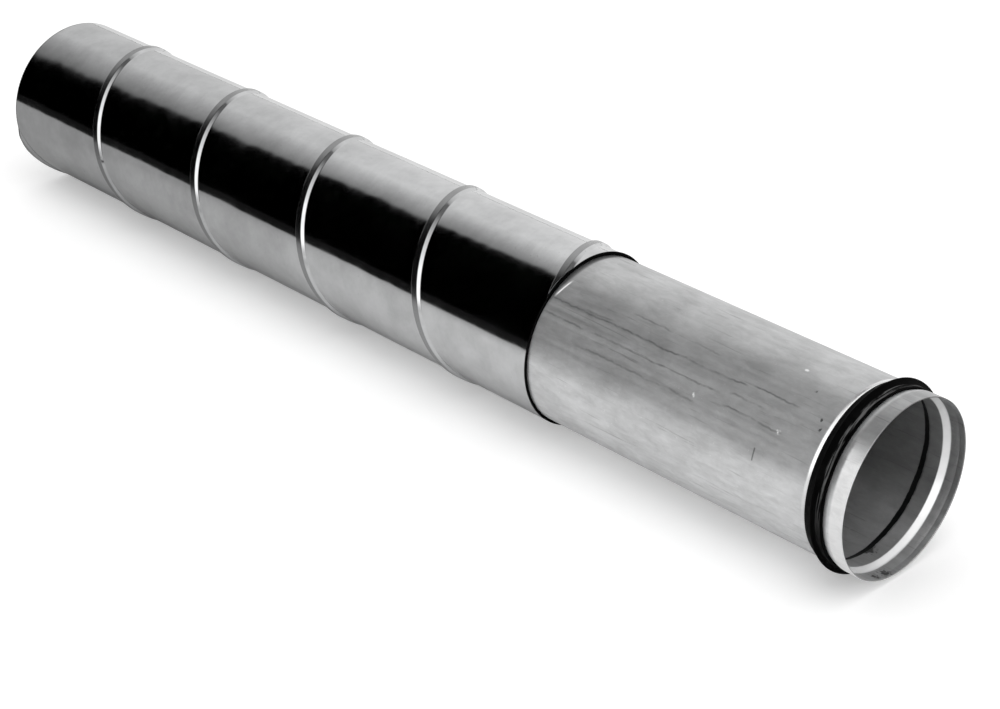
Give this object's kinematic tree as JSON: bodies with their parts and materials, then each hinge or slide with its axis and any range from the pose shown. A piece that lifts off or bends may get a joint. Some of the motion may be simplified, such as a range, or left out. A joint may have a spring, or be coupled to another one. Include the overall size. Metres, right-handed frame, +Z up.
{
  "type": "telescopic spiral duct section",
  "caption": "Spiral-seamed round galvanised duct with a plain pipe that slides out of its sealed mouth and ends in a gasketed spigot.",
  "frame": {"origin": "centre of the bounding box in plan, on the floor that the duct lies on", "axes": "+X along the duct's axis from the plain cut end of the spiral duct to the open rim of the spigot, +Z up"},
  "size_m": [0.87, 0.131, 0.131],
  "materials": {
    "bright_galvanised_sheet": "glossy zinc coated sheet",
    "satin_galvanised_sheet": "satin zinc coated sheet with rolling streaks",
    "black_rubber_seal": "matt black rubber",
    "black_rubber_gasket": "semi-matt black rubber"
  },
  "bodies": {
    "duct": {"spiral_duct": "bright_galvanised_sheet", "mouth_seal": "black_rubber_seal"},
    "pipe": {"inner_pipe": "satin_galvanised_sheet", "end_gasket": "black_rubber_gasket"}
  },
  "joints": [
    {"name": "telescope", "type": "slide", "parent": "duct", "child": "pipe", "axis": [1, 0, 0], "range_m": [-0.233, 0.128]}
  ]
}
